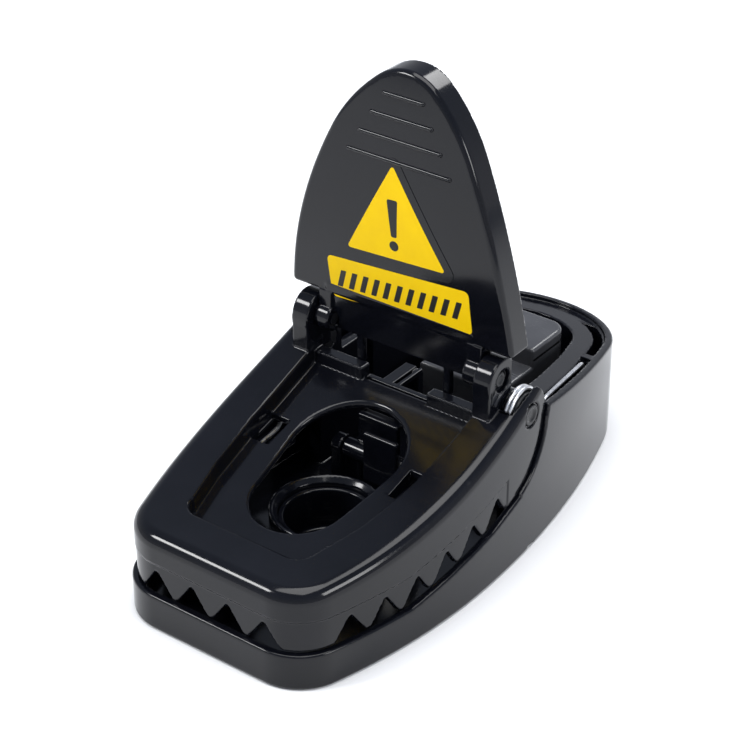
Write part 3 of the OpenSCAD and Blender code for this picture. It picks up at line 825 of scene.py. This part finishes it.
def sticker(name, outline, proud, thick, material, node=None):
    """A thin sheet with the given outline in X and Z that follows the lever's curved face."""
    spacing = 1.6
    dense = []
    for (x0, z0), (x1, z1) in zip(outline, outline[1:] + outline[:1]):
        n = max(1, int(math.hypot(x1 - x0, z1 - z0) / spacing))
        dense += [(x0 + (x1 - x0) * k / n, z0 + (z1 - z0) * k / n) for k in range(n)]
    mesh = bpy.data.meshes.new(name)
    bm = bmesh.new()
    ring = [bm.verts.new((x, 0, z)) for x, z in dense]
    bm.faces.new(ring)
    zs = [z for _, z in dense]
    for k in range(1, int((max(zs) - min(zs)) / spacing) + 1):
        z = min(zs) + k * spacing
        geom = bm.verts[:] + bm.edges[:] + bm.faces[:]
        bmesh.ops.bisect_plane(bm, geom=geom, plane_co=(0, 0, z), plane_no=(0, 0, 1))
    made = bmesh.ops.extrude_face_region(bm, geom=bm.faces[:])
    top = [v for v in made["geom"] if isinstance(v, bmesh.types.BMVert)]
    marked = set(top)
    for v in bm.verts:
        y = face_y(v.co.z, proud + (thick if v in marked else 0.0))
        v.co = (v.co.x * MM, y * MM, v.co.z * MM)
    bmesh.ops.recalc_face_normals(bm, faces=bm.faces[:])
    bm.to_mesh(mesh)
    bm.free()
    obj = bpy.data.objects.new(name, mesh)
    bpy.context.scene.collection.objects.link(obj)
    mesh.materials.append(material)
    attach(obj, "lever")
    if node:
        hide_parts(node)


def tilted(points, centre, angle):
    """The points turned by angle degrees and moved to centre."""
    c, s = math.cos(math.radians(angle)), math.sin(math.radians(angle))
    return [(centre[0] + c * u - s * v, centre[1] + s * u + c * v) for u, v in points]


LABEL_TILT = 4.6

# triangle: film, yellow field and a plain exclamation mark
film = round_corners([(-1.5, 88.0), (-16.1, 60.5), (16.2, 62.4)], 2.0)
sticker("vis_triangle_film", film, 0.01, 0.1, FILM)
field_of = round_corners([(-1.3, 84.6), (-12.6, 62.7), (12.6, 64.3)], 0.5)
sticker("vis_warning_triangle", field_of, 0.11, 0.05, YELLOW, "warning_triangle")
bar = [(-1.35, 5.4), (-0.7, -3.0), (0.7, -3.0), (1.35, 5.4)]
bar = round_corners(tilted(bar, (-0.6, 71.6), LABEL_TILT), 0.45)
sticker("vis_mark_bar", bar, 0.16, 0.03, INK)
DOT_R = 1.15
dot = [(DOT_R * math.cos(t), DOT_R * math.sin(t))
       for t in np.linspace(0, 2 * math.pi, 24, endpoint=False)]
sticker("vis_mark_dot", tilted(dot, (-0.35, 66.6), 0), 0.16, 0.03, INK)

# strip: yellow field with a plain row of slanted bars
STRIP_C, STRIP_HALF = (0.4, 55.2), (18.3, 5.1)
strip = [(sx * STRIP_HALF[0], sz * STRIP_HALF[1])
         for sx, sz in ((-1, -1), (1, -1), (1, 1), (-1, 1))]
strip = round_corners(tilted(strip, STRIP_C, LABEL_TILT), 1.2)
sticker("vis_warning_strip", strip, 0.01, 0.07, YELLOW, "warning_strip")
for k in range(11):
    u = -15.0 + 3.0 * k
    slant = [(u - 1.5, -2.1), (u - 0.1, -2.1), (u + 1.5, 2.1), (u + 0.1, 2.1)]
    slant = round_corners(tilted(slant, STRIP_C, LABEL_TILT), 0.12, 4)
    sticker("vis_strip_bar_%02d" % k, slant, 0.08, 0.03, INK)

# grip ribs, wider from the top down
RIB_TOP, RIB_PITCH, RIB_HALF, RIB_GROWTH = 99, 4.57, 4.8, 2.63
for k in range(4):
    z = RIB_TOP - RIB_PITCH * k
    half = RIB_HALF + RIB_GROWTH * k
    xs = np.linspace(-half, half, 24)
    rib = tube("vis_grip_rib_%d" % k, [(x, face_y(z, -0.05), z) for x in xs], 0.5, BLACK, 16)
    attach(rib, "lever")


# ---------------------------------------------------------------- floor, light, camera
floor_material, fn, fl, floor_shader = new_material("studio_floor")
tone = noise(fn, fl, mapped(fn, fl, (1, 1, 1)), 3, 3, 0.5)
fl.new(ramp(fn, fl, tone, ((0.3, (0.90,)), (0.7, (0.92,)))), floor_shader.inputs["Base Color"])
floor_shader.inputs["Roughness"].default_value = 0.75
floor_mesh = bpy.data.meshes.new("floor")
FLOOR = 6     # half the floor's side, in metres
floor_mesh.from_pydata([(-FLOOR, -FLOOR, 0), (FLOOR, -FLOOR, 0), (FLOOR, FLOOR, 0),
                        (-FLOOR, FLOOR, 0)], [], [(0, 1, 2, 3)])
floor = bpy.data.objects.new("floor", floor_mesh)
bpy.context.scene.collection.objects.link(floor)
floor_mesh.materials.append(floor_material)


def area(name, at, aim, size, power):
    """A white soft box at a place in metres, turned to its aim."""
    data = bpy.data.lights.new(name, "AREA")
    data.shape = "RECTANGLE"
    data.size, data.size_y = size
    data.energy = power
    obj = bpy.data.objects.new(name, data)
    bpy.context.scene.collection.objects.link(obj)
    obj.location = at
    obj.rotation_euler = (Vector(aim) - Vector(at)).to_track_quat("-Z", "Y").to_euler()


area("overhead", (0.0, -0.05, 1.3), (0, 0, 0), (1.0, 1.0), 15)
area("key", (-0.56, -0.6, 0.72), (0, 0, 0.03), (0.3, 0.2), 5)
area("side", (0.85, 0.0, 0.5), (0, 0, 0.03), (0.3, 0.3), 3)
area("back", (0.04, 0.78, 0.82), (0, 0, 0.03), (0.5, 0.2), 3)

# the room: pale at the horizon, dark overhead
world = bpy.data.worlds.new("studio")
bpy.context.scene.world = world
world.use_nodes = True
wn, wl = world.node_tree.nodes, world.node_tree.links
direction = wn.new("ShaderNodeTexCoord")
split = wn.new("ShaderNodeSeparateXYZ")
wl.new(direction.outputs["Generated"], split.inputs["Vector"])
shade = ramp(wn, wl, split.outputs["Z"], ((0.0, (0.86, 0.88, 0.95)), (0.3, (0.6, 0.63, 0.7)),
                                          (0.62, (0.42, 0.47, 0.58)), (1.0, (0.3, 0.33, 0.4))))
wl.new(shade, wn["Background"].inputs["Color"])
wn["Background"].inputs["Strength"].default_value = 0.8
bpy.context.scene.view_settings.view_transform = "Standard"

# the photograph's viewing angle, from a camera fit
AZIMUTH, ELEVATION, DISTANCE = 36.77, 31.49, 0.5
TARGET = Vector((-0.01858, 0.01103, 0.020))
SENSOR, LENS = 36, 105.648
a, e = math.radians(AZIMUTH), math.radians(ELEVATION)
back = Vector((math.sin(a) * math.cos(e), -math.cos(a) * math.cos(e), math.sin(e)))
camera_data = bpy.data.cameras.new("camera")
camera_data.sensor_width = SENSOR
camera_data.lens = LENS
camera_data.clip_start, camera_data.clip_end = 0.01, 20
camera = bpy.data.objects.new("camera", camera_data)
bpy.context.scene.collection.objects.link(camera)
camera.location = TARGET + back * DISTANCE
camera.rotation_mode = "QUATERNION"
camera.rotation_quaternion = (-back).to_track_quat("-Z", "Y")
bpy.context.scene.camera = camera

bpy.context.view_layer.update()
